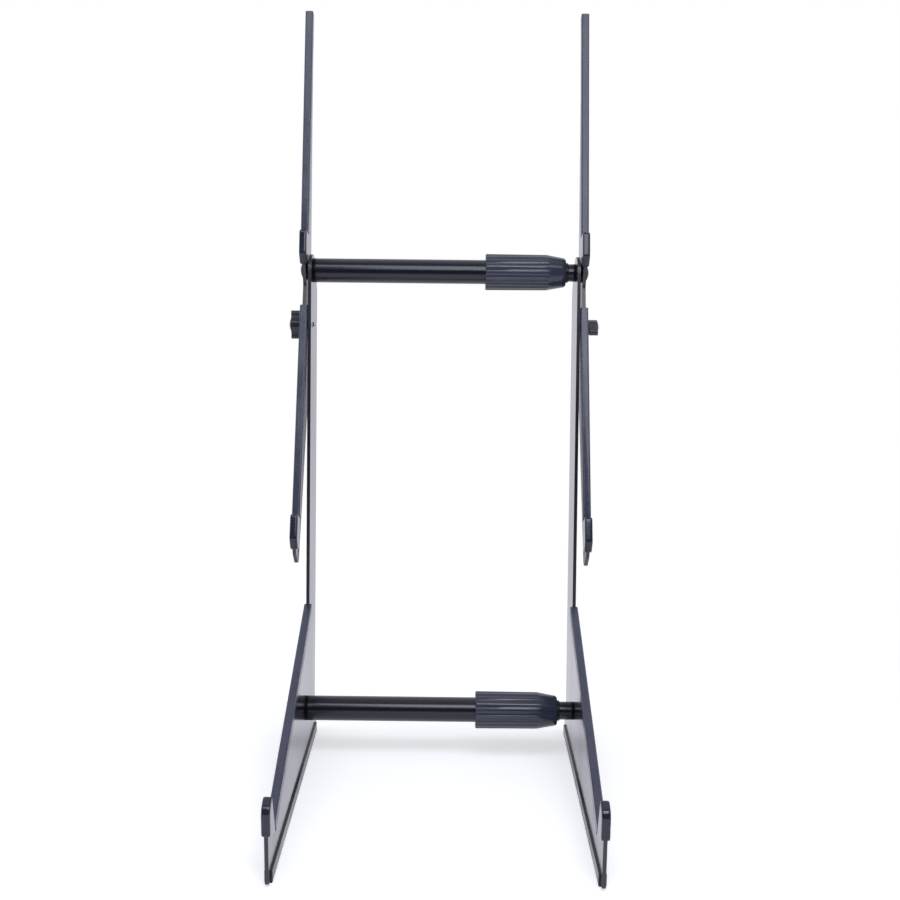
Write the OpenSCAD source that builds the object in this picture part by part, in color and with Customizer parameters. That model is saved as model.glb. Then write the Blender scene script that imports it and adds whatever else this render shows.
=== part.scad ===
// Three-tier desktop stand of two steel sides, joined by two telescoping bars with twist grips.
// Each side is a foot plate with a low arm, and a tilting plate with a middle and an upper arm.
// X runs across the stand, -Y faces the user and Z is up, with the floor at zero.

/* [Stand] */
// Clear width between the two side plates
inner_width = 240; // [210:1:300]
// Thickness of the steel sheet
plate_t = 3; // [2:0.5:4]
// Length of each foot along the floor
foot_len = 300; // [280:1:360]
// Height of the heel behind the post
heel_h = 13; // [12.5:0.5:17]
// How far the heel stands out behind the post
heel_out = 13.4; // [12:0.2:24]
// Lean of the posts towards the back, in degrees
post_lean = 6.5; // [2:0.5:11]
// Width of the posts
post_w = 48; // [42:1:56]
// Height of the tilt pivots above the floor
pivot_h = 438.6; // [400:0.2:500]
// Height of the post's top edge above the pivot, along the post
post_top = 13.6; // [12:0.1:16]
// Drop of the sloping shoulder behind the post's top
shoulder_drop = 28; // [24:1:36]

/* [Lower arms] */
// Height at which the lower arm meets the post
lower_arm_h = 134.7; // [122:0.1:150]
// Slope of the lower arm, in degrees from level
lower_arm_slope = 22.5; // [19:0.1:24]
// Length of the lower arm's rest, from the lip's rubber to the post
lower_arm_len = 251.1; // [238:0.1:255]
// Height of the lower lip above its arm
lower_lip_h = 29; // [24:1:36]
// Thickness of the lower lip
lower_lip_t = 10; // [9:0.1:13]
// Height of the lower cap's bottom edge above the floor
lower_cap_h = 41; // [36:0.5:46]

/* [Tilting plates] */
// Gap between a post and the tilting plate outside it
plate_gap = 2.5; // [1.5:0.1:4]
// Lean of the middle arm from upright, in degrees
middle_lean = 21; // [18:0.5:24]
// Lean of the upper arm from upright, in degrees
upper_lean = 13.7; // [11:0.1:17]
// Distance of the middle arm's front edge ahead of the pivot
middle_front = 10.2; // [9:0.1:12]
// Distance of the upper arm's front edge ahead of the pivot
upper_front = 19.7; // [17:0.1:23]
// Distance from the pivot down to the middle lip
middle_lip_at = 232.6; // [210:0.1:260]
// Distance from the pivot up to the upper lip
upper_lip_at = 27.7; // [26:0.1:32]
// Length of the upper arm above the pivot
upper_arm_len = 237; // [200:1:290]
// Depth of the tilting plate behind its elbow
elbow_depth = 29; // [26:0.5:34]
// Distance of the elbow below the pivot
elbow_drop = 79; // [74:1:90]
// Height of the middle and upper lips above their arms
lip_h = 12; // [10:0.5:18]
// Thickness of the middle and upper lips
lip_t = 17.8; // [16:0.1:20]
// Length of the steel nose below the middle lip
nose_len = 21.7; // [20:0.1:26]
// Largest tilt to either side, in degrees
tilt_range = 12; // [6:1:12]

/* [Rubber edging and caps] */
// Width of the rubber edging
edging_w = 7; // [6:0.1:7.5]
// Thickness of rubber in front of the steel edge
edging_base = 2.3; // [1.5:0.1:3]
// Depth of the edging's flanges over the steel
edging_grip = 7; // [5:0.1:7]
// Distance from the pivot down to the top of the middle arm's edging
middle_edging_at = 37.5; // [34:0.5:46]
// Width of the rubber runner under the foot
runner_w = 6.1; // [5.5:0.1:7]
// Height of the runner
runner_h = 10; // [8.5:0.1:11]
// How far the runner ends short of both ends of the foot
runner_inset = 8; // [4:0.5:12]
// Width of the rubber caps on the lips
cap_w = 6.8; // [6:0.1:7.2]

/* [Crossbars] */
// Height of the lower bar above the floor
lower_bar_h = 48; // [40:1:58]
// Distance of the lower bar behind the front of the foot
lower_bar_y = 230; // [200:1:245]
// Outside diameter of the outer tubes
outer_tube_d = 22; // [21:0.1:22.4]
// Wall of both tubes
tube_wall = 1.5; // [1.2:0.1:1.6]
// Outside diameter of the inner tubes
inner_tube_d = 16; // [15:0.1:16.4]
// How far the bars can still be pushed in before the inner tubes reach the outer plugs
push_in = 6; // [2:0.5:6]
// Thickness of the flange on the outer tube's end plug
outer_flange_t = 2.3; // [1.5:0.1:4]
// Thickness of the flange on the inner tube's end plug
inner_flange_t = 2; // [1:0.1:3]
// Length of the end plugs inside the tubes
plug_len = 15; // [12:0.5:20]
// Length of the glide on the inner tube's hidden end
glide_len = 12; // [8:0.5:20]

/* [Twist grips] */
// Length of a twist grip
grip_len = 73.5; // [70:0.5:76]
// Diameter of the grip at its wide end
grip_d = 33.2; // [32.6:0.1:36]
// Diameter of the grip at its shoulder
grip_shoulder_d = 32.6; // [31.6:0.1:33]
// Diameter of the grip at its nose
grip_nose_d = 26.5; // [25:0.1:28]
// Length of the grip's cone
grip_cone = 18; // [15:0.5:20]
// Number of flutes round the grip
grip_flutes = 18; // [14:1:20]
// Radius of each flute
flute_r = 4; // [3:0.1:4.4]
// Depth of each flute
flute_depth = 0.9; // [0.6:0.1:1.1]
// Gap between the upper grip's nose and the right side plate
upper_grip_gap = 9; // [8.6:0.1:14]
// Gap between the lower grip's nose and the right side plate
lower_grip_gap = 14.5; // [10:0.1:20]
// Outside diameter of the threaded ferrule
ferrule_d = 26; // [25.2:0.1:26.4]
// Length of the ferrule
ferrule_len = 38; // [36:0.5:38]
// Outside diameter of the clutch collet's nose
collet_nose_d = 18; // [17.8:0.1:18.4]
// How far the collet stands out of the grip's nose
collet_out = 2.5; // [1.5:0.1:2.5]
// Number of cuts across the collet
collet_cuts = 2; // [1:1:3]
// Width of the cuts that split the collet
collet_cut_w = 1.4; // [1:0.1:2]

/* [Bolts] */
// Diameter of the bar bolts
bolt_d = 8; // [6:0.1:8.4]
// Diameter of the bar bolts' heads
bolt_head_d = 13.4; // [12:0.1:14.4]
// Height of the bar bolts' heads
bolt_head_h = 4; // [3.4:0.1:4.6]
// Width of the hexagon socket, across its corners
bolt_socket_d = 5.8; // [4.6:0.1:6.4]
// Diameter of the spacer on the tilt pivot
spacer_d = 18; // [15:0.5:20]

/* [Tilt locks] */
// Distance of the lock screw below the pivot
lock_drop = 50; // [47:0.5:53]
// Diameter of the lock screw
screw_d = 5; // [4:0.1:5.2]
// Length of the screw past the left post
left_screw_out = 2.2; // [0:0.1:4]
// Diameter of the clinch nut's barrel
nut_d = 8; // [7:0.1:9]
// Diameter of the washer and of the nut's flange
washer_d = 10; // [9.4:0.1:10.4]
// Thickness of the washer
washer_t = 1; // [0.8:0.1:1.6]
// Length of the wing knob along its screw
knob_len = 12.9; // [12:0.1:15]
// Span of the knob's wings
knob_span = 26; // [24:0.5:32]
// Diameter of the knob's hub
knob_hub_d = 13.2; // [12.4:0.1:13.6]
// Thickness of the wings at their tips
wing_t = 7; // [6:0.1:8]
// Turn of the left knob's wings from upright, in degrees
left_wing_turn = 0; // [-90:1:90]
// Turn of the right knob's wings from upright, in degrees
right_wing_turn = -70; // [-90:1:90]

/* [Clearances] */
// Sideways gap between faces that turn on each other
face_gap = 0.1; // [0.05:0.05:0.2]
// Gap round a bolt or a thread in its hole
hole_gap = 0.1; // [0.05:0.05:0.15]
// Gap round a tube that slides
slide_gap = 0.05; // [0.05:0.01:0.1]
// Gap round the ferrule and the collet in a grip
grip_gap = 0.1; // [0.1:0.05:0.2]
// Gap between an edging's end and what it stops at
edging_gap = 0.2; // [0.1:0.1:0.5]

/* [Hidden] */

// Round parts are drawn with this many sides, and rounded corners in steps of this many degrees
$fn = 64;
arc_step = 10;

// Colours of the materials
steel_black = [0.15, 0.15, 0.18];
rubber_grey = [0.30, 0.31, 0.36];
cap_navy = [0.11, 0.12, 0.17];
tube_black = [0.08, 0.08, 0.10];
grip_slate = [0.27, 0.28, 0.34];
zinc_black = [0.20, 0.20, 0.22];

// Positions across the stand, on the right side
post_in = inner_width / 2;
post_out = post_in + plate_t;
tilt_in = post_out + plate_gap;
tilt_out = tilt_in + plate_t;
washer_at = tilt_out + face_gap;
knob_at = washer_at + washer_t;

// Depth of the stud in its knob
knob_bore = 8;

// Directions down an arm and points along and ahead of it, all as [y, z]
function down(lean) = [-sin(lean), -cos(lean)];
function arm_point(start, lean, s, n) = start + s * down(lean) + n * [-cos(lean), sin(lean)];

// The post's centre line, and points beside it
post_foot_y = foot_len - heel_out - post_w / 2 / cos(post_lean);
function post_point(z, side) = [post_foot_y + z * tan(post_lean) + side / cos(post_lean), z];
pivot = post_point(pivot_h, 0);
lock_point = pivot + lock_drop * down(post_lean);
lower_bar = [lower_bar_y, lower_bar_h];

// Corners of the lower arm's steel edge and lip
lower_lean = 90 - lower_arm_slope;
lower_corner = post_point(lower_arm_h, -post_w / 2);
lower_lip_s = lower_arm_len + edging_base;
function lower_point(s, n) = arm_point(lower_corner, lower_lean, s, n);
lower_lip_tip = lower_point(lower_lip_s + lower_lip_t, lower_lip_h);
foot_front = [0, edging_base];

// Points along the middle and upper arms, with n measured from the steel's front edge
function middle_point(s, n) = arm_point(pivot, middle_lean, s, middle_front + n);
function upper_point(s, n) = arm_point(pivot, upper_lean, -s, upper_front + n);

// Radii of the steel's corners
sheet_r = 4;
inner_r = 6;
seat_r = edging_base;
corner_r = 1;
lower_tip_r = 6.5;
post_r = post_w / 3;
shoulder_r = post_w / 4;

// Outline of a side plate, from the front of the foot over the post, as [point, radius]
side_outline = [
    [foot_front, 2],
    [lower_lip_tip, lower_tip_r],
    [lower_point(lower_lip_s, lower_lip_h), 3],
    [lower_point(lower_lip_s, 0), seat_r],
    [lower_corner, corner_r],
    [arm_point(pivot, post_lean, -post_top, post_w / 2), post_r],
    [arm_point(pivot, post_lean, -post_top, 0), shoulder_r],
    [arm_point(pivot, post_lean, shoulder_drop - post_top, -post_w / 2), post_r],
    [post_point(heel_h, post_w / 2), 8],
    [[foot_len, heel_h], 3],
    [[foot_len, edging_base], 2]];

// Outline of a tilting plate, from the top of the upper arm down its back
knee_s = 17;
chin_n = -middle_front - 8;
nose_r = 6;
nose_s = middle_lip_at + lip_t + nose_len;
tilt_outline = [
    [upper_point(upper_arm_len, -upper_front + 1), sheet_r],
    [arm_point(pivot, upper_lean, elbow_drop, -elbow_depth), 40],
    [middle_point(nose_s, chin_n), nose_r],
    [middle_point(nose_s - nose_r - 2, 1), nose_r],
    [middle_point(middle_lip_at + lip_t, lip_h), sheet_r],
    [middle_point(middle_lip_at, lip_h), 3],
    [middle_point(middle_lip_at, 0), seat_r],
    [middle_point(knee_s, 0), inner_r],
    [upper_point(upper_lip_at - lip_t, lip_h), 5],
    [upper_point(upper_lip_at, lip_h), 3],
    [upper_point(upper_lip_at, 0), seat_r],
    [upper_point(upper_arm_len, 0), sheet_r]];

// Circle that rounds the corner at p between its neighbours a and b
function unit(v) = v / norm(v);
function half_angle(a, p, b) = acos(unit(a - p) * unit(b - p)) / 2;
function corner_centre(a, p, b, r) =
    p + r / sin(half_angle(a, p, b)) * unit(unit(a - p) + unit(b - p));
function corner_touch(a, p, b, r) = p + r / tan(half_angle(a, p, b)) * unit(a - p);

// The outline's front and back, which put the origin midway
front_circle = corner_centre(foot_front, lower_lip_tip, lower_point(lower_lip_s, lower_lip_h), lower_tip_r);
back_circle = corner_centre(tilt_outline[11][0], tilt_outline[0][0], tilt_outline[1][0], sheet_r);
front_y = front_circle[0] - lower_tip_r - edging_base;
back_y = back_circle[0] + sheet_r;
middle_y = (front_y + back_y) / 2;

// Points along the arc that rounds the corner at p, on the way from a to b
function turned(v, angle) = [v[0] * cos(angle) - v[1] * sin(angle), v[0] * sin(angle) + v[1] * cos(angle)];
function corner_arc(a, p, b, r) =
    let (centre = corner_centre(a, p, b, r))
    let (start = corner_touch(a, p, b, r) - centre)
    let (turn = sign(cross(p - a, b - p)) * (180 - 2 * half_angle(a, p, b)))
    let (steps = max(2, ceil(abs(turn) / arc_step)))
    [for (i = [0 : steps]) centre + turned(start, turn * i / steps)];

// Flat outline with an arc in each corner, given as [point, radius]
module rounded_outline(corners) {
    count = len(corners);
    function at(i) = corners[(i + count) % count][0];
    polygon([for (i = [0 : count - 1]) each corner_arc(at(i - 1), at(i), at(i + 1), corners[i][1])]);
}

// Flat shape in the side view, as a sheet from x outwards
module sheet(x, t) {
    translate([x, -middle_y, 0])
        rotate([90, 0, 90])
            linear_extrude(t)
                children();
}

// Round piece along X, from x outwards, on the axis that passes through a side-view point
module along_bar(x, point) {
    translate([x, point[0] - middle_y, point[1]])
        rotate([0, 90, 0])
            children();
}

// The left half is the right half mirrored
module on_side(left) {
    mirror([left ? 1 : 0, 0, 0])
        children();
}

// Ring with a plain hole
module ring(outer_d, inner_d, h) {
    difference() {
        cylinder(d = outer_d, h = h);
        translate([0, 0, -1])
            cylinder(d = inner_d, h = h + 2);
    }
}

// Steel foot, lower arm and post in one sheet
module side_plate() {
    difference() {
        sheet(post_in, plate_t)
            rounded_outline(side_outline);
        for (point = [pivot, lower_bar])
            along_bar(post_in - 1, point)
                cylinder(d = bolt_d + 2 * hole_gap, h = plate_t + 2);
        along_bar(post_in - 1, lock_point)
            cylinder(d = nut_d, h = plate_t + 2);
    }
}

// Curved slot that lets the tilting plate swing past the lock screw
module tilt_slot() {
    slot_r = screw_d / 2 + 0.3;
    half = tilt_range + 1;
    end_steps = 12;
    function swung(turn, r) = pivot + r * down(post_lean + turn);
    function end_arc(turn, from) = [for (i = [0 : end_steps])
        swung(turn, lock_drop) + slot_r * down(post_lean + turn + from + 180 * i / end_steps)];
    polygon(concat(
        [for (turn = [1 - half : half - 1]) swung(turn, lock_drop + slot_r)],
        end_arc(half, 0),
        [for (turn = [half - 1 : -1 : 1 - half]) swung(turn, lock_drop - slot_r)],
        end_arc(-half, 180)));
}

// Upper and middle arm in one bent sheet that tilts on the upper bar's bolt
module tilt_plate() {
    difference() {
        sheet(tilt_in, plate_t)
            rounded_outline(tilt_outline);
        along_bar(tilt_in - 1, pivot)
            cylinder(d = bolt_d + 2 * hole_gap, h = plate_t + 2);
        sheet(tilt_in - 1, plate_t + 2)
            tilt_slot();
    }
}

// Section of an edging, across X and outwards from the steel's edge, with the slot for the steel
module edging_section(w, grip) {
    face_r = 1.4;
    lip_r = 0.5;
    difference() {
        rounded_outline([
            [[-w / 2, -grip], lip_r],
            [[-w / 2, edging_base], face_r],
            [[w / 2, edging_base], face_r],
            [[w / 2, -grip], lip_r]]);
        translate([-plate_t / 2, -grip - 1])
            square([plate_t, grip + 1]);
    }
}

// Straight edging between two points of a steel edge, the plate's outside on the right
module edging(x, from, to) {
    way = to - from;
    translate([x, from[0] - middle_y, from[1]])
        rotate([atan2(-way[0], way[1]), 0, 0])
            linear_extrude(norm(way))
                edging_section(edging_w, edging_grip);
}

// Rubber runner under the foot, open at both of its ends
module foot_edging() {
    translate([post_in + plate_t / 2, runner_inset - middle_y, edging_base])
        rotate([-90, 0, 0])
            linear_extrude(foot_len - 2 * runner_inset)
                edging_section(runner_w, runner_h - edging_base);
}

// Edging along the rest of the lower arm, notched where it runs up against the post
module lower_arm_edging() {
    overrun = 2.5;
    notch = 12;
    difference() {
        edging(post_in + plate_t / 2, lower_point(-overrun, 0), lower_point(lower_arm_len - edging_gap, 0));
        sheet(post_in, plate_t)
            polygon([
                post_point(lower_arm_h - overrun, -post_w / 2),
                post_point(lower_arm_h + notch, -post_w / 2),
                post_point(lower_arm_h + notch, notch - post_w / 2),
                post_point(lower_arm_h - overrun, notch - post_w / 2)]);
    }
}

// Edging along the rest of the middle arm
module middle_arm_edging() {
    edging(tilt_in + plate_t / 2, middle_point(middle_edging_at, 0),
        middle_point(middle_lip_at - edging_base - edging_gap, 0));
}

// Edging along the rest of the upper arm
module upper_arm_edging() {
    edging(tilt_in + plate_t / 2, upper_point(upper_arm_len, 0),
        upper_point(upper_lip_at + edging_base + edging_gap, 0));
}

// Rubber cap pulled over the lower lip and down the front of the foot
module lower_lip_cap() {
    back = lower_lip_s - edging_base;
    chin_run = 7;
    front_slope = (lower_lip_tip[0] - foot_front[0]) / (lower_lip_tip[1] - foot_front[1]);
    front_base = edging_base / cos(atan(front_slope));
    lower_front = [foot_front[0] + (lower_cap_h - foot_front[1]) * front_slope - front_base, lower_cap_h];
    upper_front_n = lower_lip_h + edging_base;
    difference() {
        sheet(post_in + (plate_t - cap_w) / 2, cap_w)
            rounded_outline([
                [lower_front, 1.5],
                [cap_tip(lower_front, front_slope, upper_front_n), lower_tip_r + edging_base],
                [lower_point(back, upper_front_n), 3],
                [lower_point(back, -edging_grip), 1.5],
                [lower_point(back + chin_run, -edging_base), 3]]);
        sheet(post_in, plate_t)
            rounded_outline(side_outline);
    }
}

// Where the cap's front line meets the line along its top
function cap_tip(start, slope, n) =
    let (top = lower_point(0, n))
    let (run = down(lower_lean))
    let (s = (start[0] - top[0] + slope * (top[1] - start[1])) / (run[0] - slope * run[1]))
    top + s * run;

// Rubber cap over a lip of the tilting plate, drawn along the arm from the lip's seat
module tilt_lip_cap(start, lean) {
    function at(t, n) = arm_point(start, lean, t, n);
    tip_t = lip_t + 2 * edging_base;
    chin_t = tip_t + 5.4;
    chin_front = [tip_t + 7.9, 5.5];
    difference() {
        sheet(tilt_in + (plate_t - cap_w) / 2, cap_w)
            rounded_outline([
                [at(0, -edging_grip), 1.5],
                [at(chin_t, -edging_grip), 2],
                [at(chin_front[0], chin_front[1]), 3],
                [at(tip_t, lip_h + edging_base), 4],
                [at(0, lip_h + edging_base), 3]]);
        sheet(tilt_in, plate_t)
            rounded_outline(tilt_outline);
    }
}

// Low dome on a round face
module dome(d, h) {
    r = (pow(d / 2, 2) + pow(h, 2)) / 2 / h;
    intersection() {
        cylinder(d = d, h = h);
        translate([0, 0, h - r])
            sphere(r);
    }
}

// Button head bolt with a hexagon socket, head up, with its shank below z = 0
module button_bolt(shank_len) {
    rim = bolt_head_h / 2;
    socket_depth = bolt_head_h / 2;
    difference() {
        union() {
            cylinder(d = bolt_head_d, h = rim);
            translate([0, 0, rim])
                dome(bolt_head_d, bolt_head_h - rim);
            translate([0, 0, -shank_len])
                cylinder(d = bolt_d, h = shank_len);
        }
        translate([0, 0, bolt_head_h - socket_depth])
            cylinder(d = bolt_socket_d, h = bolt_head_h, $fn = 6);
    }
}

// Bolt through the tilting plate and the post into the upper bar
module pivot_bolt() {
    along_bar(washer_at, pivot)
        button_bolt(washer_at - post_in + plug_len - 1);
}

// Spacer that keeps the tilting plate's rubber clear of the post
module pivot_spacer() {
    along_bar(post_out, pivot)
        ring(spacer_d, bolt_d + 2 * hole_gap, plate_gap - face_gap);
}

// Bolt through the side plate into the lower bar
module lower_bolt() {
    along_bar(post_out, lower_bar)
        button_bolt(plate_t + plug_len - 1);
}

// Clinch nut pressed into the post, its flange outside
module lock_nut() {
    along_bar(post_in, lock_point)
        difference() {
            union() {
                cylinder(d = nut_d, h = plate_t);
                translate([0, 0, plate_t])
                    cylinder(d = washer_d, h = plate_gap - 2 * face_gap);
            }
            translate([0, 0, -1])
                cylinder(d = screw_d + 2 * hole_gap, h = plate_t + plate_gap + 2);
        }
}

// Stud of the wing knob, through the slot and the nut
module lock_screw(sticks_out) {
    tip = 0.6;
    stud_end = knob_at + knob_bore;
    stud_start = post_in - sticks_out;
    along_bar(stud_start, lock_point) {
        cylinder(d1 = screw_d - 2 * tip, d2 = screw_d, h = tip);
        translate([0, 0, tip])
            cylinder(d = screw_d, h = stud_end - stud_start - tip);
    }
}

// Washer between the wing knob and the tilting plate
module lock_washer() {
    along_bar(washer_at, lock_point)
        ring(washer_d, screw_d + 2 * hole_gap, washer_t);
}

// Wing knob that clamps the tilting plate to the post
module lock_knob(wing_turn) {
    collar_h = 1.6;
    skirt_h = 3.4;
    dome_h = 1.8;
    wing_h = knob_len - skirt_h - dome_h;
    along_bar(knob_at, lock_point)
        difference() {
            union() {
                cylinder(d = washer_d, h = collar_h);
                translate([0, 0, collar_h])
                    cylinder(d1 = washer_d, d2 = knob_hub_d, h = skirt_h - collar_h);
                translate([0, 0, skirt_h])
                    linear_extrude(wing_h)
                        rotate(wing_turn)
                            wing_outline();
                translate([0, 0, knob_len - dome_h])
                    dome(knob_hub_d, dome_h);
            }
            translate([0, 0, -1])
                cylinder(d = screw_d, h = knob_bore + 1);
        }
}

// Outline of the two wings, waisted between the hub and their lobes
module wing_outline() {
    crown = knob_hub_d / 2 + 0.2;
    crown_half = 0.2 * knob_hub_d;
    waist = 0.37 * wing_t;
    waist_at = 0.31 * knob_span;
    tip_r = 0.36 * wing_t;
    function lobe(side) = [
        [side * [-crown_half, crown], 4],
        [side * [crown_half, crown], 4],
        [side * [waist_at, waist], 2.5],
        [side * [knob_span / 2, wing_t / 2], tip_r],
        [side * [knob_span / 2, -wing_t / 2], tip_r],
        [side * [waist_at, -waist], 2.5]];
    rounded_outline(concat(lobe(1), lobe(-1)));
}

// Places along a bar, from the left plate to the right one
upper_grip_x = post_in - upper_grip_gap - grip_len;
lower_grip_x = post_in - lower_grip_gap - grip_len;
outer_bore_d = outer_tube_d - 2 * tube_wall;
inner_bore_d = inner_tube_d - 2 * tube_wall;
tube_start = -post_in + outer_flange_t;
plug_room = 1.7;
inner_start = tube_start + plug_len + plug_room + push_in;

// Places inside a grip, from its wide end
ferrule_start = 6 + face_gap;
ferrule_end = ferrule_start + ferrule_len - face_gap;
tube_end = ferrule_end - 4;
seat_start = ferrule_end + 6;
seat_end = seat_start + 14;
chamber_d = ferrule_d + 2 * grip_gap;
nose_bore_d = collet_nose_d + 4 * grip_gap;
collet_bore_d = inner_tube_d + 2 * slide_gap;

// Outer tube of a bar, which ends inside its grip
module outer_tube(point, grip_x) {
    along_bar(tube_start, point)
        ring(outer_tube_d, outer_bore_d, grip_x + tube_end - tube_start);
}

// Plug that closes the outer tube and takes the left bolt
module outer_plug(point) {
    along_bar(-post_in, point)
        difference() {
            union() {
                cylinder(d = outer_tube_d, h = outer_flange_t);
                translate([0, 0, outer_flange_t])
                    cylinder(d = outer_bore_d, h = plug_len);
            }
            translate([0, 0, -1])
                cylinder(d = bolt_d + 2 * slide_gap, h = outer_flange_t + plug_len + 2);
        }
}

// Inner tube of a bar, fixed to the right side plate
module inner_tube(point) {
    along_bar(inner_start, point)
        ring(inner_tube_d, inner_bore_d, post_in - inner_flange_t - inner_start);
}

// Plug that closes the inner tube and takes the right bolt
module inner_plug(point) {
    along_bar(post_in - inner_flange_t - plug_len, point)
        difference() {
            union() {
                cylinder(d = inner_bore_d, h = plug_len);
                translate([0, 0, plug_len])
                    cylinder(d = inner_tube_d, h = inner_flange_t);
            }
            translate([0, 0, -1])
                cylinder(d = bolt_d + 2 * slide_gap, h = inner_flange_t + plug_len + 2);
        }
}

// Glide on the hidden end of the inner tube, which runs in the outer tube
module inner_glide(point) {
    along_bar(inner_start, point)
        ring(outer_bore_d - 2 * grip_gap, inner_tube_d, glide_len);
}

// Ferrule on the end of the outer tube, which carries the grip
module thread_ferrule(point, grip_x) {
    along_bar(grip_x + ferrule_start, point)
        difference() {
            cylinder(d = ferrule_d, h = ferrule_end - ferrule_start);
            translate([0, 0, -1])
                cylinder(d = outer_tube_d, h = tube_end - ferrule_start + 1);
            translate([0, 0, -1])
                cylinder(d = inner_tube_d + 1, h = ferrule_len + 2);
        }
}

// Split collet that the grip's cone squeezes onto the inner tube
module clutch_collet(point, grip_x) {
    nose_end = grip_len + collet_out;
    body_r = chamber_d / 2 - 0.3;
    along_bar(grip_x, point)
        difference() {
            rotate_extrude()
                polygon([
                    [collet_bore_d / 2, ferrule_end],
                    [body_r, ferrule_end],
                    [body_r, seat_start],
                    [collet_nose_d / 2 - 0.05, seat_end],
                    [collet_nose_d / 2, seat_end + 0.5],
                    [collet_nose_d / 2, nose_end - 0.4],
                    [collet_nose_d / 2 - 0.4, nose_end],
                    [collet_bore_d / 2, nose_end]]);
            for (i = [0 : collet_cuts - 1])
                rotate(180 / collet_cuts * i)
                    translate([-chamber_d / 2, -collet_cut_w / 2, seat_start + 2])
                        cube([chamber_d, collet_cut_w, nose_end]);
        }
}

// Fluted grip that turns on the ferrule
module twist_grip(point, grip_x) {
    rim = 0.8;
    nose_rim = 1.2;
    cone_start = grip_len - grip_cone;
    rim_bore_d = outer_tube_d + 0.6;
    along_bar(grip_x, point)
        difference() {
            rotate_extrude()
                polygon([
                    [rim_bore_d / 2, 0],
                    [grip_d / 2 - rim, 0],
                    [grip_d / 2, rim],
                    [grip_shoulder_d / 2, cone_start],
                    [grip_nose_d / 2, grip_len - nose_rim],
                    [grip_nose_d / 2 - nose_rim, grip_len],
                    [nose_bore_d / 2, grip_len],
                    [nose_bore_d / 2, seat_end],
                    [chamber_d / 2, seat_start],
                    [chamber_d / 2, 6],
                    [rim_bore_d / 2, 6]]);
            for (i = [0 : grip_flutes - 1])
                rotate(360 / grip_flutes * i)
                    translate([grip_d / 2 - flute_depth + flute_r, 0, -1])
                        cylinder(r = flute_r, h = grip_len + 2);
        }
}

module left_side_plate() color(steel_black) on_side(true) side_plate();
module right_side_plate() color(steel_black) on_side(false) side_plate();
module left_foot_edging() color(rubber_grey) on_side(true) foot_edging();
module right_foot_edging() color(rubber_grey) on_side(false) foot_edging();
module left_lower_arm_edging() color(rubber_grey) on_side(true) lower_arm_edging();
module right_lower_arm_edging() color(rubber_grey) on_side(false) lower_arm_edging();
module left_lower_lip_cap() color(cap_navy) on_side(true) lower_lip_cap();
module right_lower_lip_cap() color(cap_navy) on_side(false) lower_lip_cap();
module left_tilt_plate() color(steel_black) on_side(true) tilt_plate();
module right_tilt_plate() color(steel_black) on_side(false) tilt_plate();
module left_middle_arm_edging() color(rubber_grey) on_side(true) middle_arm_edging();
module right_middle_arm_edging() color(rubber_grey) on_side(false) middle_arm_edging();

// Start of the caps along their arms, at the rubber face of the seat
middle_cap_start = middle_point(middle_lip_at - edging_base, 0);
upper_cap_start = upper_point(upper_lip_at + edging_base, 0);

module left_middle_lip_cap() color(cap_navy) on_side(true) tilt_lip_cap(middle_cap_start, middle_lean);
module right_middle_lip_cap() color(cap_navy) on_side(false) tilt_lip_cap(middle_cap_start, middle_lean);
module left_upper_arm_edging() color(rubber_grey) on_side(true) upper_arm_edging();
module right_upper_arm_edging() color(rubber_grey) on_side(false) upper_arm_edging();
module left_upper_lip_cap() color(cap_navy) on_side(true) tilt_lip_cap(upper_cap_start, upper_lean);
module right_upper_lip_cap() color(cap_navy) on_side(false) tilt_lip_cap(upper_cap_start, upper_lean);
module left_pivot_bolt() color(zinc_black) on_side(true) pivot_bolt();
module right_pivot_bolt() color(zinc_black) on_side(false) pivot_bolt();
module left_pivot_spacer() color(zinc_black) on_side(true) pivot_spacer();
module right_pivot_spacer() color(zinc_black) on_side(false) pivot_spacer();
module left_lower_bolt() color(zinc_black) on_side(true) lower_bolt();
module right_lower_bolt() color(zinc_black) on_side(false) lower_bolt();
module left_lock_nut() color(zinc_black) on_side(true) lock_nut();
module right_lock_nut() color(zinc_black) on_side(false) lock_nut();
module left_lock_screw() color(zinc_black) on_side(true) lock_screw(left_screw_out);
module right_lock_screw() color(zinc_black) on_side(false) lock_screw(0);
module left_lock_washer() color(zinc_black) on_side(true) lock_washer();
module right_lock_washer() color(zinc_black) on_side(false) lock_washer();
module left_lock_knob() color(cap_navy) on_side(true) lock_knob(left_wing_turn);
module right_lock_knob() color(cap_navy) on_side(false) lock_knob(right_wing_turn);
module upper_outer_tube() color(tube_black) outer_tube(pivot, upper_grip_x);
module lower_outer_tube() color(tube_black) outer_tube(lower_bar, lower_grip_x);
module upper_outer_plug() color(cap_navy) outer_plug(pivot);
module lower_outer_plug() color(cap_navy) outer_plug(lower_bar);
module upper_inner_tube() color(tube_black) inner_tube(pivot);
module lower_inner_tube() color(tube_black) inner_tube(lower_bar);
module upper_inner_plug() color(cap_navy) inner_plug(pivot);
module lower_inner_plug() color(cap_navy) inner_plug(lower_bar);
module upper_inner_glide() color(cap_navy) inner_glide(pivot);
module lower_inner_glide() color(cap_navy) inner_glide(lower_bar);
module upper_thread_ferrule() color(cap_navy) thread_ferrule(pivot, upper_grip_x);
module lower_thread_ferrule() color(cap_navy) thread_ferrule(lower_bar, lower_grip_x);
module upper_clutch_collet() color(cap_navy) clutch_collet(pivot, upper_grip_x);
module lower_clutch_collet() color(cap_navy) clutch_collet(lower_bar, lower_grip_x);
module upper_twist_grip() color(grip_slate) twist_grip(pivot, upper_grip_x);
module lower_twist_grip() color(grip_slate) twist_grip(lower_bar, lower_grip_x);

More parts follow.
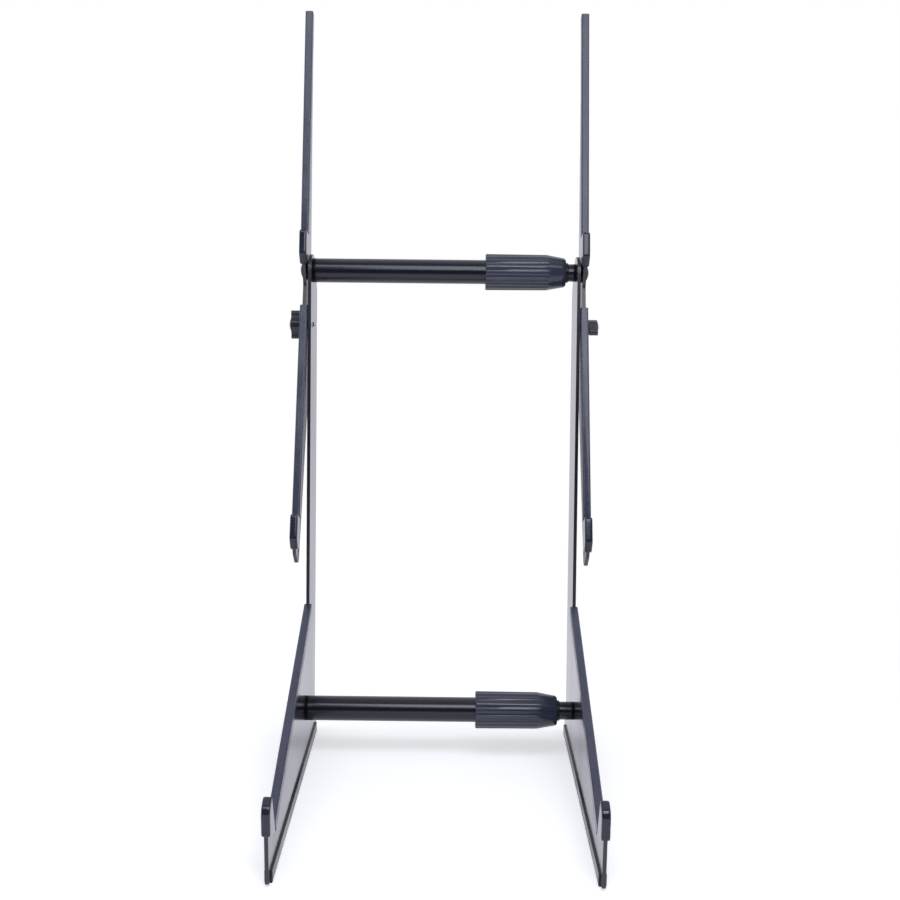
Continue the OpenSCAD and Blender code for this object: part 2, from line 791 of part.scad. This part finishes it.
left_side_plate();
right_side_plate();
left_foot_edging();
right_foot_edging();
left_lower_arm_edging();
right_lower_arm_edging();
left_lower_lip_cap();
right_lower_lip_cap();
left_tilt_plate();
right_tilt_plate();
left_middle_arm_edging();
right_middle_arm_edging();
left_middle_lip_cap();
right_middle_lip_cap();
left_upper_arm_edging();
right_upper_arm_edging();
left_upper_lip_cap();
right_upper_lip_cap();
left_pivot_bolt();
right_pivot_bolt();
left_pivot_spacer();
right_pivot_spacer();
left_lower_bolt();
right_lower_bolt();
left_lock_nut();
right_lock_nut();
left_lock_screw();
right_lock_screw();
left_lock_washer();
right_lock_washer();
left_lock_knob();
right_lock_knob();
upper_outer_tube();
lower_outer_tube();
upper_outer_plug();
lower_outer_plug();
upper_inner_tube();
lower_inner_tube();
upper_inner_plug();
lower_inner_plug();
upper_inner_glide();
lower_inner_glide();
upper_thread_ferrule();
lower_thread_ferrule();
upper_clutch_collet();
lower_clutch_collet();
upper_twist_grip();
lower_twist_grip();
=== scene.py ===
import math

import bpy
from mathutils import Matrix, Vector


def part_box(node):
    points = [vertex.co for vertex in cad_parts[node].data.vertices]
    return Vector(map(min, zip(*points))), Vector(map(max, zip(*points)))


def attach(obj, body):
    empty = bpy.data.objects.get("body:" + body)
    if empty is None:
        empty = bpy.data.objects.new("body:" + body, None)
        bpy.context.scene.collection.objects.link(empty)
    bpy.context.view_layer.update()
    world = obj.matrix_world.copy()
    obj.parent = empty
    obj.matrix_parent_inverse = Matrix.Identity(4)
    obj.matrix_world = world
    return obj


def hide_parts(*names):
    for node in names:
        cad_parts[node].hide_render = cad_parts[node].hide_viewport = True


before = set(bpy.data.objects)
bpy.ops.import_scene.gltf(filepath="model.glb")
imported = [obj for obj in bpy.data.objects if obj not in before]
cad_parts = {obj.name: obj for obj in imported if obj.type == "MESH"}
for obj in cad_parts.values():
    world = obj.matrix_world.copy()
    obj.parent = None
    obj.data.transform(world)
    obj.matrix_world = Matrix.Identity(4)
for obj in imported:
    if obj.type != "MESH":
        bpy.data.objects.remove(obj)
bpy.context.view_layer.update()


# Side plates and tilting plates
# Each side is laser-cut from 3 mm steel sheet in two pieces, deburred along its edges and
# finished in satin black powder coat. The tilting plate hangs outside the post on the bar's bolt.
def shade(tree, kind, values=None, **settings):
    """Adds a shader node with its settings and the values of its inputs."""
    step = tree.nodes.new(kind)
    for name, value in settings.items():
        setattr(step, name, value)
    for socket, value in (values or {}).items():
        step.inputs[socket].default_value = value
    return step


def new_group(name, inputs, outputs):
    """Starts a shader group with number inputs, given with their defaults, and number outputs."""
    group = bpy.data.node_groups.new(name, "ShaderNodeTree")
    for socket, default in inputs.items():
        made = group.interface.new_socket(socket, in_out="INPUT", socket_type="NodeSocketFloat")
        made.default_value = default
    for socket in outputs:
        group.interface.new_socket(socket, in_out="OUTPUT", socket_type="NodeSocketFloat")
    return group, group.nodes.new("NodeGroupInput"), group.nodes.new("NodeGroupOutput")


def coat_texture_group():
    """Fine grain: pebbles over a slow wave, with specks where single grains stand out."""
    group, start, end = new_group(
        "coat_texture", {"Pebbles": 900.0, "Wave": 0.35}, ["Height", "Specks"])
    link = group.links.new
    place = shade(group, "ShaderNodeTexCoord")
    pebbles = shade(group, "ShaderNodeTexNoise", {"Detail": 2.0, "Roughness": 0.45})
    wave = shade(group, "ShaderNodeTexNoise", {"Scale": 90.0, "Detail": 1.0})
    grains = shade(group, "ShaderNodeTexVoronoi", feature="F1")
    grain_scale = shade(group, "ShaderNodeMath", {1: 0.55}, operation="MULTIPLY")
    specks = shade(group, "ShaderNodeMapRange", {"From Min": 0.22, "From Max": 0.05})
    waved = shade(group, "ShaderNodeMath", operation="MULTIPLY_ADD")
    for texture in (pebbles, wave, grains):
        link(place.outputs["Object"], texture.inputs["Vector"])
    link(start.outputs["Pebbles"], pebbles.inputs["Scale"])
    link(start.outputs["Pebbles"], grain_scale.inputs[0])
    link(grain_scale.outputs[0], grains.inputs["Scale"])
    link(grains.outputs["Distance"], specks.inputs["Value"])
    link(wave.outputs["Fac"], waved.inputs[0])
    link(start.outputs["Wave"], waved.inputs[1])
    link(pebbles.outputs["Fac"], waved.inputs[2])
    link(waved.outputs[0], end.inputs["Height"])
    link(specks.outputs["Result"], end.inputs["Specks"])
    return group


def edge_thinning_and_sheen_group():
    """Edge mask, 1 on edges, 0 on flats: thin coat, and on the grips a painted highlight."""
    group, start, end = new_group("edge_thinning_and_sheen", {"Reach": 0.0006}, ["Mask"])
    link = group.links.new
    rounded = shade(group, "ShaderNodeBevel", samples=4)
    face = shade(group, "ShaderNodeNewGeometry")
    flatness = shade(group, "ShaderNodeVectorMath", operation="DOT_PRODUCT")
    mask = shade(group, "ShaderNodeMapRange", {"From Min": 0.995, "From Max": 0.86})
    link(start.outputs["Reach"], rounded.inputs["Radius"])
    link(rounded.outputs["Normal"], flatness.inputs[0])
    link(face.outputs["True Normal"], flatness.inputs[1])
    link(flatness.outputs["Value"], mask.inputs["Value"])
    link(mask.outputs["Result"], end.inputs["Mask"])
    return group


def handling_group():
    """Broad, faint smears that hands and cloths leave, drawn out along Z by the factor Streaks."""
    group, start, end = new_group("handling", {"Size": 14.0, "Streaks": 3.0}, ["Smears"])
    link = group.links.new
    place = shade(group, "ShaderNodeTexCoord")
    stretch = shade(group, "ShaderNodeCombineXYZ", {"X": 1.0, "Y": 1.0})
    shorten = shade(group, "ShaderNodeMath", {0: 1.0}, operation="DIVIDE")
    scaled = shade(group, "ShaderNodeVectorMath", operation="MULTIPLY")
    smears = shade(
        group, "ShaderNodeTexNoise", {"Detail": 5.0, "Roughness": 0.6, "Distortion": 0.4})
    contrast = shade(group, "ShaderNodeMapRange", {"From Min": 0.35, "From Max": 0.68})
    link(start.outputs["Streaks"], shorten.inputs[1])
    link(shorten.outputs[0], stretch.inputs["Z"])
    link(place.outputs["Object"], scaled.inputs[0])
    link(stretch.outputs["Vector"], scaled.inputs[1])
    link(scaled.outputs["Vector"], smears.inputs["Vector"])
    link(start.outputs["Size"], smears.inputs["Scale"])
    link(smears.outputs["Fac"], contrast.inputs["Value"])
    link(contrast.outputs["Result"], end.inputs["Smears"])
    return group


def cut_edges_group():
    """Cut edges of a sheet that stands across X: 1 on the edges, 0 on its two flat faces."""
    group, start, end = new_group("cut_edges", {"Softness": 0.2}, ["Mask"])
    link = group.links.new
    edge_below = 0.5
    place = shade(group, "ShaderNodeTexCoord")
    axes = shade(group, "ShaderNodeSeparateXYZ")
    sideways = shade(group, "ShaderNodeMath", operation="ABSOLUTE")
    flat_from = shade(group, "ShaderNodeMath", {0: edge_below}, operation="ADD")
    mask = shade(group, "ShaderNodeMapRange", {"From Max": edge_below})
    link(place.outputs["Normal"], axes.inputs[0])
    link(axes.outputs["X"], sideways.inputs[0])
    link(start.outputs["Softness"], flat_from.inputs[1])
    link(flat_from.outputs[0], mask.inputs["From Min"])
    link(sideways.outputs[0], mask.inputs["Value"])
    link(mask.outputs["Result"], end.inputs["Mask"])
    return group


def place_group(tree, group, **values):
    """Puts a shared effect into a material with its own values."""
    step = tree.nodes.new("ShaderNodeGroup")
    step.node_tree = group
    for socket, value in values.items():
        step.inputs[socket].default_value = value
    return step


def new_finish(name, base, roughness):
    """Starts a material with an overall colour and roughness, and gives its tree and shader."""
    finish = bpy.data.materials.new(name)
    finish.use_nodes = True
    tree = finish.node_tree
    shader = tree.nodes["Principled BSDF"]
    shader.inputs["Base Color"].default_value = (*base, 1.0)
    shader.inputs["Roughness"].default_value = roughness
    return finish, tree, shader


def blend_colours(tree, mask, plain, marked):
    """Output with a colour that goes from plain to marked as the mask goes from 0 to 1."""
    # A mix node has a set of sockets for each type of value. These are the ones for colours.
    first, second, result = 6, 7, 2
    blend = shade(tree, "ShaderNodeMix", data_type="RGBA")
    blend.inputs[first].default_value = (*plain, 1.0)
    blend.inputs[second].default_value = (*marked, 1.0)
    tree.links.new(mask, blend.inputs["Factor"])
    return blend.outputs[result]


def tint_by(tree, shader, mask, plain, marked):
    """Base colour that goes from plain to marked as the mask goes from 0 to 1."""
    tree.links.new(blend_colours(tree, mask, plain, marked), shader.inputs["Base Color"])


def roughen_by(tree, shader, mask, low, high):
    """Roughness that goes from low to high as the mask goes from 0 to 1."""
    spread = shade(tree, "ShaderNodeMapRange", {"To Min": low, "To Max": high})
    tree.links.new(mask, spread.inputs["Value"])
    tree.links.new(spread.outputs["Result"], shader.inputs["Roughness"])


def emboss(tree, shader, height, depth):
    """Relief of the given depth in metres, from a height between 0 and 1."""
    relief = shade(tree, "ShaderNodeBump", {"Strength": 1.0, "Distance": depth})
    tree.links.new(height, relief.inputs["Height"])
    tree.links.new(relief.outputs["Normal"], shader.inputs["Normal"])


coat_texture = coat_texture_group()
cut_edges = cut_edges_group()
edge_thinning_and_sheen = edge_thinning_and_sheen_group()
handling = handling_group()


def powder_coat():
    """Satin black powder coat, paler where it thins over an edge and duller on the cut edges."""
    finish, tree, shader = new_finish("powder_coat", (0.012, 0.013, 0.021), 0.16)
    shader.inputs["IOR"].default_value = 1.6
    link = tree.links.new
    texture = place_group(tree, coat_texture, Pebbles=1100.0, Wave=0.8)
    edge = place_group(tree, edge_thinning_and_sheen, Reach=0.0005)
    smears = place_group(tree, handling, Size=11.0, Streaks=4.0)
    cut = place_group(tree, cut_edges, Softness=0.2)
    flats = shade(tree, "ShaderNodeMapRange", {"To Min": 0.12, "To Max": 0.20})
    flats_and_edges = shade(tree, "ShaderNodeMapRange", {"To Max": 0.34})
    link(smears.outputs["Smears"], flats.inputs["Value"])
    link(cut.outputs["Mask"], flats_and_edges.inputs["Value"])
    link(flats.outputs["Result"], flats_and_edges.inputs["To Min"])
    link(flats_and_edges.outputs["Result"], shader.inputs["Roughness"])
    tint_by(tree, shader, edge.outputs["Mask"], (0.011, 0.012, 0.020), (0.026, 0.028, 0.042))
    emboss(tree, shader, texture.outputs["Height"], depth=0.000008)
    return finish


def dress(node, finish, edge=0.0, steps=3):
    """Gives a node its finish, and rounds its sharp edges by a radius in metres, if any."""
    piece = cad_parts[node]
    for slot in piece.material_slots:
        slot.material = finish
    if edge:
        weld = piece.modifiers.new("weld", "WELD")
        weld.merge_threshold = 0.000002
        rounding = piece.modifiers.new("edges", "BEVEL")
        rounding.width = edge
        rounding.segments = steps
        rounding.limit_method = "ANGLE"
        rounding.angle_limit = math.radians(35)
        rounding.harden_normals = True
    return piece


# The stand has two sides that mirror each other.
SIDES = ("left", "right")

plate_finish = powder_coat()
plate_edge = 0.0004
for side in SIDES:
    dress(f"{side}_side_plate", plate_finish, plate_edge)
    dress(f"{side}_tilt_plate", plate_finish, plate_edge)


# Rubber edging and runners
# Extruded rubber channel, pushed over the steel's edge. It lines every arm under the gear, and
# a darker one, partly painted shade, lines the sole of each foot, a little short of both ends.
def rubber_grain_group():
    """Rubber's skin: fine pores and a pale bloom in soft patches."""
    group, start, end = new_group("rubber_grain", {"Pores": 1600.0}, ["Height", "Bloom"])
    link = group.links.new
    place = shade(group, "ShaderNodeTexCoord")
    pores = shade(group, "ShaderNodeTexNoise", {"Detail": 3.0, "Roughness": 0.6})
    bloom = shade(group, "ShaderNodeTexNoise", {"Scale": 30.0, "Detail": 6.0, "Roughness": 0.65})
    spread = shade(group, "ShaderNodeMapRange", {"From Min": 0.38, "From Max": 0.66})
    for texture in (pores, bloom):
        link(place.outputs["Object"], texture.inputs["Vector"])
    link(start.outputs["Pores"], pores.inputs["Scale"])
    link(bloom.outputs["Fac"], spread.inputs["Value"])
    link(pores.outputs["Fac"], end.inputs["Height"])
    link(spread.outputs["Result"], end.inputs["Bloom"])
    return group


rubber_grain = rubber_grain_group()


def extruded_rubber(name, plain, bloomed):
    """Smooth rubber with fine pores and a faint pale bloom."""
    finish, tree, shader = new_finish(name, plain, 0.3)
    grain = place_group(tree, rubber_grain, Pores=1600.0)
    tint_by(tree, shader, grain.outputs["Bloom"], plain, bloomed)
    roughen_by(tree, shader, grain.outputs["Bloom"], low=0.22, high=0.36)
    emboss(tree, shader, grain.outputs["Height"], depth=0.000015)
    return finish


edging_finish = extruded_rubber("edging_rubber", (0.034, 0.040, 0.070), (0.047, 0.054, 0.090))
# The runner's dark is partly its own rubber and partly painted shade along the foot's ledge.
runner_finish = extruded_rubber("runner_rubber", (0.008, 0.009, 0.014), (0.013, 0.014, 0.020))
channel_edge = 0.0003
for side in SIDES:
    dress(f"{side}_foot_edging", runner_finish, channel_edge, 2)
    for arm in ("lower", "middle", "upper"):
        dress(f"{side}_{arm}_arm_edging", edging_finish, channel_edge, 2)


# Rubber caps on the lips
# Dipped rubber boots, glossier and darker than the edging, pulled over each lip.
# They keep the gear from sliding off and cover the lip's corners.
def cap_rubber():
    """Smooth, slightly glossy navy-black rubber."""
    finish, tree, shader = new_finish("cap_rubber", (0.012, 0.015, 0.032), 0.13)
    grain = place_group(tree, rubber_grain, Pores=700.0)
    smears = place_group(tree, handling, Size=60.0, Streaks=1.0)
    tint_by(tree, shader, grain.outputs["Bloom"], (0.010, 0.013, 0.028), (0.017, 0.021, 0.042))
    roughen_by(tree, shader, smears.outputs["Smears"], low=0.09, high=0.17)
    emboss(tree, shader, grain.outputs["Height"], depth=0.00001)
    return finish


def round_off(piece, grain, passes):
    """Melts a dipped piece's sharp edges into soft rounds, on a mesh of small even facets."""
    skin = piece.modifiers.new("skin", "REMESH")
    skin.mode = "VOXEL"
    skin.voxel_size = grain
    skin.use_smooth_shade = True
    melt = piece.modifiers.new("melt", "SMOOTH")
    melt.factor = 0.5
    melt.iterations = passes


cap_finish = cap_rubber()
for side in SIDES:
    for tier in ("lower", "middle", "upper"):
        round_off(dress(f"{side}_{tier}_lip_cap", cap_finish), grain=0.0005, passes=34)


# Crossbar tubes
# Drawn steel tube, the inner one sliding in the outer, both in glossy black enamel.
# A black plug closes each end and takes the bolt from the side plate.
def tube_enamel(name, rubbed):
    """Glossy black enamel, with rub marks along the tube as strong as rubbed says, up to 1."""
    plain = (0.004, 0.006, 0.016)
    finish, tree, shader = new_finish(name, plain, 0.22)
    texture = place_group(tree, coat_texture, Pebbles=500.0, Wave=1.6)
    place = shade(tree, "ShaderNodeTexCoord")
    lengthwise = shade(tree, "ShaderNodeMapping", {"Scale": (12.0, 900.0, 900.0)})
    marks = shade(tree, "ShaderNodeTexNoise", {"Scale": 1.0, "Detail": 2.0})
    shown = shade(
        tree, "ShaderNodeMapRange", {"From Min": 0.58, "From Max": 0.72, "To Max": rubbed})
    tree.links.new(place.outputs["Object"], lengthwise.inputs["Vector"])
    tree.links.new(lengthwise.outputs["Vector"], marks.inputs["Vector"])
    tree.links.new(marks.outputs["Fac"], shown.inputs["Value"])
    tint_by(tree, shader, shown.outputs["Result"], plain, (0.020, 0.024, 0.040))
    roughen_by(tree, shader, shown.outputs["Result"], low=0.20, high=0.34)
    emboss(tree, shader, texture.outputs["Height"], depth=0.000006)
    return finish


BARS = ("upper", "lower")

outer_finish = tube_enamel("outer_tube_enamel", rubbed=0.15)
inner_finish = tube_enamel("inner_tube_enamel", rubbed=0.8)
for bar in BARS:
    dress(f"{bar}_outer_tube", outer_finish)
    dress(f"{bar}_inner_tube", inner_finish)


# Plugs, glides and clutch
# Injection-moulded black nylon: end plugs, the glide on the hidden end of the inner tube, the
# threaded ferrule that carries the grip, and the split collet that clamps the inner tube.
def black_nylon(name, plain, worn, shine):
    """Matt black nylon with a fine spark-eroded skin, paler on its edges."""
    finish, tree, shader = new_finish(name, plain, 0.42)
    shader.inputs["Specular IOR Level"].default_value = shine
    texture = place_group(tree, coat_texture, Pebbles=2200.0, Wave=0.1)
    edge = place_group(tree, edge_thinning_and_sheen, Reach=0.0003)
    tint_by(tree, shader, edge.outputs["Mask"], plain, worn)
    roughen_by(tree, shader, texture.outputs["Specks"], low=0.38, high=0.50)
    emboss(tree, shader, texture.outputs["Height"], depth=0.00002)
    return finish


nylon_finish = black_nylon(
    "black_nylon", plain=(0.009, 0.009, 0.012), worn=(0.022, 0.022, 0.027), shine=0.5)
plug_finish = black_nylon(
    "plug_nylon", plain=(0.003, 0.003, 0.005), worn=(0.006, 0.007, 0.010), shine=0.15)
plug_edge = 0.0003
collet_edge = 0.0002
for bar in BARS:
    for plug in ("outer_plug", "inner_plug"):
        dress(f"{bar}_{plug}", plug_finish, plug_edge, 2)
    for inside in ("inner_glide", "thread_ferrule"):
        dress(f"{bar}_{inside}", nylon_finish)
    dress(f"{bar}_clutch_collet", nylon_finish, collet_edge, 2)


# Twist grips
# One-piece moulded sleeves of slate-coloured nylon, fluted for the hand. Turning one pulls its
# inner cone over the collet, which locks the bar's length.
def grip_nylon():
    """Satin slate nylon with a fine even grain and a painted highlight along the ribs' crests."""
    plain = (0.032, 0.037, 0.061)
    finish, tree, shader = new_finish("grip_nylon", plain, 0.18)
    texture = place_group(tree, coat_texture, Pebbles=2000.0, Wave=0.2)
    edge = place_group(tree, edge_thinning_and_sheen, Reach=0.0004)
    smears = place_group(tree, handling, Size=45.0, Streaks=1.0)
    # The crests' paler colour is a painted highlight, where the ribs would catch the lamps.
    tint_by(tree, shader, edge.outputs["Mask"], plain, (0.082, 0.088, 0.126))
    roughen_by(tree, shader, smears.outputs["Smears"], low=0.14, high=0.20)
    emboss(tree, shader, texture.outputs["Height"], depth=0.000004)
    return finish


grip_finish = grip_nylon()
grip_edge = 0.00025
for bar in BARS:
    dress(f"{bar}_twist_grip", grip_finish, grip_edge, 2)


# Bolts, spacers, nuts and washers
# Small steel parts in black zinc: button-head bolts into the bars, a spacer on each tilt pivot,
# and a clinch nut and washer for each tilt lock.
def black_zinc():
    """Black zinc over turned steel, with the sheen of fine machining."""
    finish, tree, shader = new_finish("black_zinc", (0.008, 0.009, 0.013), 0.18)
    shader.inputs["Metallic"].default_value = 0.3
    shader.inputs["Specular IOR Level"].default_value = 0.35
    texture = place_group(tree, coat_texture, Pebbles=1500.0, Wave=0.5)
    edge = place_group(tree, edge_thinning_and_sheen, Reach=0.0003)
    tint_by(tree, shader, edge.outputs["Mask"], (0.007, 0.008, 0.012), (0.050, 0.050, 0.054))
    roughen_by(tree, shader, texture.outputs["Specks"], low=0.14, high=0.26)
    emboss(tree, shader, texture.outputs["Height"], depth=0.00001)
    return finish


zinc_finish = black_zinc()
bolt_edge = 0.0002
washer_edge = 0.00015
for side in SIDES:
    for bolt in ("pivot_bolt", "lower_bolt"):
        dress(f"{side}_{bolt}", zinc_finish, bolt_edge, 2)
    for ring in ("pivot_spacer", "lock_nut", "lock_washer"):
        dress(f"{side}_{ring}", zinc_finish, washer_edge, 2)


# Lock studs
# M5 steel studs moulded into the wing knobs, in clear zinc, with a rolled thread of 0.8 mm pitch.
# Each runs through the tilting plate's curved slot into the clinch nut.
def threaded_stud(name, start, end, centre, radius, pitch):
    """Stud along X from start to end, with a helical thread that runs out at both ends."""
    around = 40
    per_turn = 8
    depth = 0.5 * pitch
    rows = int((end - start) / pitch * per_turn)
    points = []
    for row in range(rows + 1):
        x = start + (end - start) * row / rows
        taper = min(1.0, (row + 2) / per_turn, (rows - row + 2) / per_turn)
        for step in range(around):
            angle = 2 * math.pi * step / around
            phase = (row / per_turn - step / around) % 1.0
            # The wave is cut off above and below, which leaves flat crests and roots.
            crest = min(1.0, max(0.0, 1.4 * abs(2 * phase - 1) - 0.2))
            r = radius - depth * (1 - crest * taper)
            points.append((x, centre.y + r * math.cos(angle), centre.z + r * math.sin(angle)))
    faces = []
    for row in range(rows):
        here = row * around
        there = here + around
        for step in range(around):
            ahead = (step + 1) % around
            faces.append((here + step, there + step, there + ahead, here + ahead))
    faces.append(tuple(range(around)))
    faces.append(tuple(rows * around + step for step in reversed(range(around))))
    mesh = bpy.data.meshes.new(name)
    mesh.from_pydata(points, [], faces)
    mesh.polygons.foreach_set("use_smooth", [True] * len(mesh.polygons))
    mesh.update()
    stud = bpy.data.objects.new(name, mesh)
    bpy.context.scene.collection.objects.link(stud)
    return stud


def bright_zinc():
    """Clear zinc plating on a rolled thread, duller where it was handled."""
    finish, tree, shader = new_finish("bright_zinc", (0.72, 0.73, 0.76), 0.22)
    shader.inputs["Metallic"].default_value = 1.0
    texture = place_group(tree, coat_texture, Pebbles=1500.0, Wave=0.5)
    smears = place_group(tree, handling, Size=220.0, Streaks=1.0)
    tint_by(tree, shader, smears.outputs["Smears"], (0.78, 0.79, 0.82), (0.58, 0.58, 0.60))
    roughen_by(tree, shader, smears.outputs["Smears"], low=0.18, high=0.32)
    emboss(tree, shader, texture.outputs["Height"], depth=0.000005)
    return finish


stud_finish = bright_zinc()
thread_pitch = 0.0008
for side in SIDES:
    low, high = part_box(f"{side}_lock_screw")
    middle = (low + high) / 2
    radius = (high.z - low.z) / 2
    stud = threaded_stud(f"{side}_threaded_stud", low.x, high.x, middle, radius, thread_pitch)
    stud.data.materials.append(stud_finish)
    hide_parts(f"{side}_lock_screw")
    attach(stud, f"{side}_lock")


# Wing knobs
# Moulded black nylon wings over the end of each stud, with a smooth hub and rounded lobes.
# The left one stands upright and the right one lies nearly level, as they were tightened.
def knob_nylon():
    """Satin navy-black nylon, paler and duller in faint smears; dress rounds the knob's edges."""
    finish, tree, shader = new_finish("knob_nylon", (0.020, 0.022, 0.036), 0.30)
    texture = place_group(tree, coat_texture, Pebbles=1800.0, Wave=0.4)
    smears = place_group(tree, handling, Size=80.0, Streaks=1.0)
    tint_by(tree, shader, smears.outputs["Smears"], (0.018, 0.020, 0.032), (0.028, 0.031, 0.048))
    roughen_by(tree, shader, smears.outputs["Smears"], low=0.26, high=0.38)
    emboss(tree, shader, texture.outputs["Height"], depth=0.00002)
    return finish


knob_finish = knob_nylon()
knob_edge = 0.0012
for side in SIDES:
    dress(f"{side}_lock_knob", knob_finish, knob_edge, 4)


# Floor and background
# A plain white sweep of the studio: the floor takes the stand's soft shadow, and a little way
# out from the stand it runs over into the white of the background.
def background_rays(tree):
    """Light Path node, and a mask: 1 for rays that show the background, 0 for those that light."""
    rays = shade(tree, "ShaderNodeLightPath")
    seen_or_mirrored = shade(tree, "ShaderNodeMath", operation="MAXIMUM")
    shown = shade(tree, "ShaderNodeMath", operation="MAXIMUM")
    link = tree.links.new
    link(rays.outputs["Is Camera Ray"], seen_or_mirrored.inputs[0])
    link(rays.outputs["Is Glossy Ray"], seen_or_mirrored.inputs[1])
    link(seen_or_mirrored.outputs[0], shown.inputs[0])
    link(rays.outputs["Is Transmission Ray"], shown.inputs[1])
    return rays, shown.outputs[0]


def white_floor():
    """White floor that glows a little to the eye, so that only the shadows show on it."""
    finish, tree, shader = new_finish("white_floor", (0.90, 0.90, 0.91), 0.9)
    shader.inputs["Specular IOR Level"].default_value = 0.0
    link = tree.links.new
    rays, shown = background_rays(tree)
    glow = shade(tree, "ShaderNodeEmission", {"Strength": 0.48})
    near = shade(tree, "ShaderNodeAddShader")
    backdrop = shade(tree, "ShaderNodeEmission", {"Strength": 1.0})
    spot = shade(tree, "ShaderNodeTexCoord")
    from_stand = shade(tree, "ShaderNodeVectorMath", operation="LENGTH")
    runs_out = shade(tree, "ShaderNodeMapRange", {"From Min": 0.35, "From Max": 0.7})
    sweep = shade(tree, "ShaderNodeMixShader")
    choose = shade(tree, "ShaderNodeMixShader")
    # White to the eye, and a trace of the studio's lavender where a gloss mirrors it.
    tone = blend_colours(tree, rays.outputs["Is Glossy Ray"], (1.0, 1.0, 1.0), (0.92, 0.90, 1.0))
    link(tone, glow.inputs["Color"])
    link(tone, backdrop.inputs["Color"])
    link(shader.outputs["BSDF"], near.inputs[0])
    link(glow.outputs["Emission"], near.inputs[1])
    link(spot.outputs["Object"], from_stand.inputs[0])
    link(from_stand.outputs["Value"], runs_out.inputs["Value"])
    link(runs_out.outputs["Result"], sweep.inputs[0])
    link(near.outputs["Shader"], sweep.inputs[1])
    link(backdrop.outputs["Emission"], sweep.inputs[2])
    link(shown, choose.inputs[0])
    link(shader.outputs["BSDF"], choose.inputs[1])
    link(sweep.outputs["Shader"], choose.inputs[2])
    link(choose.outputs["Shader"], tree.nodes["Material Output"].inputs["Surface"])
    return finish


def white_room():
    """World: white to the eye, lavender walls in a gloss that dim toward the front, and a fill."""
    room = bpy.data.worlds.new("white_room")
    room.use_nodes = True
    tree = room.node_tree
    tree.nodes.clear()
    link = tree.links.new
    white = shade(tree, "ShaderNodeBackground", {"Color": (1.0, 1.0, 1.0, 1.0), "Strength": 1.0})
    walls = shade(tree, "ShaderNodeBackground", {"Color": (0.93, 0.91, 1.0, 1.0)})
    fill = shade(tree, "ShaderNodeBackground", {"Color": (0.90, 0.93, 1.0, 1.0), "Strength": 0.40})
    way = shade(tree, "ShaderNodeTexCoord")
    axes = shade(tree, "ShaderNodeSeparateXYZ")
    front_to_back = shade(
        tree, "ShaderNodeMapRange",
        {"From Min": -0.55, "From Max": 0.15, "To Min": 0.12, "To Max": 1.0})
    rays, shown = background_rays(tree)
    view = shade(tree, "ShaderNodeMixShader")
    choose = shade(tree, "ShaderNodeMixShader")
    out = shade(tree, "ShaderNodeOutputWorld")
    link(way.outputs["Generated"], axes.inputs[0])
    link(axes.outputs["Y"], front_to_back.inputs["Value"])
    link(front_to_back.outputs["Result"], walls.inputs["Strength"])
    link(rays.outputs["Is Camera Ray"], view.inputs[0])
    link(walls.outputs["Background"], view.inputs[1])
    link(white.outputs["Background"], view.inputs[2])
    link(shown, choose.inputs[0])
    link(fill.outputs["Background"], choose.inputs[1])
    link(view.outputs["Shader"], choose.inputs[2])
    link(choose.outputs["Shader"], out.inputs["Surface"])
    return room


# The floor ends just short of the camera. Past that edge the stand mirrors the dim front walls.
floor_reach = 6.0
floor_front = 0.95
floor_mesh = bpy.data.meshes.new("studio_floor")
floor_mesh.from_pydata(
    [(-floor_reach, -floor_front, 0.0), (floor_reach, -floor_front, 0.0),
     (floor_reach, floor_reach, 0.0), (-floor_reach, floor_reach, 0.0)],
    [], [(0, 1, 2, 3)])
floor = bpy.data.objects.new("studio_floor", floor_mesh)
floor_mesh.materials.append(white_floor())
bpy.context.scene.collection.objects.link(floor)
bpy.context.scene.world = white_room()


# Studio lamps
# Four plain softboxes: a small key above the camera and a little to its right, a broad strip
# above that, and one to each side. They are large beside the stand, so its shadows stay soft.
def softbox(name, place, width, height, watts):
    """Rectangular lamp at a place, facing the middle of the stand."""
    stand_middle = Vector((0.0, 0.0, 0.3))
    cool_white = (0.90, 0.93, 1.0)
    lamp = bpy.data.lights.new(name, "AREA")
    lamp.shape = "RECTANGLE"
    lamp.size = width
    lamp.size_y = height
    lamp.energy = watts
    lamp.color = cool_white
    holder = bpy.data.objects.new(name, lamp)
    bpy.context.scene.collection.objects.link(holder)
    holder.location = place
    holder.rotation_euler = (stand_middle - Vector(place)).to_track_quat("-Z", "Y").to_euler()


softbox("key_softbox", (0.10, -0.85, 0.98), width=0.52, height=0.46, watts=3.2)
softbox("front_softbox", (0.0, -1.1, 1.75), width=1.8, height=0.5, watts=10.0)
softbox("left_softbox", (-1.9, -0.6, 1.4), width=1.2, height=1.2, watts=6.0)
softbox("right_softbox", (1.9, -0.6, 1.4), width=1.2, height=1.2, watts=6.0)


# Camera
# It stands in front of the stand at about two thirds of its height, a hair to the right of its
# middle, and looks slightly down, as the photograph was taken.
camera_place = (0.009, -0.9869, 0.4501)
pitch = math.radians(9.04)
yaw = math.radians(-0.12)
roll = math.radians(0.60)
level = math.cos(pitch)
forward = Vector((math.sin(yaw) * level, math.cos(yaw) * level, -math.sin(pitch)))
level_right = forward.cross(Vector((0.0, 0.0, 1.0))).normalized()
level_up = level_right.cross(forward)
right = level_right * math.cos(roll) + level_up * math.sin(roll)
up = right.cross(forward)
turn = Matrix((right, up, -forward)).transposed().to_4x4()
camera_data = bpy.data.cameras.new("photo_camera")
camera_data.sensor_width = 36.0
camera_data.lens = 48.0
camera_data.clip_start = 0.01
camera = bpy.data.objects.new("photo_camera", camera_data)
camera.matrix_world = Matrix.Translation(camera_place) @ turn
bpy.context.scene.collection.objects.link(camera)
bpy.context.scene.camera = camera
bpy.context.scene.view_settings.view_transform = "Standard"
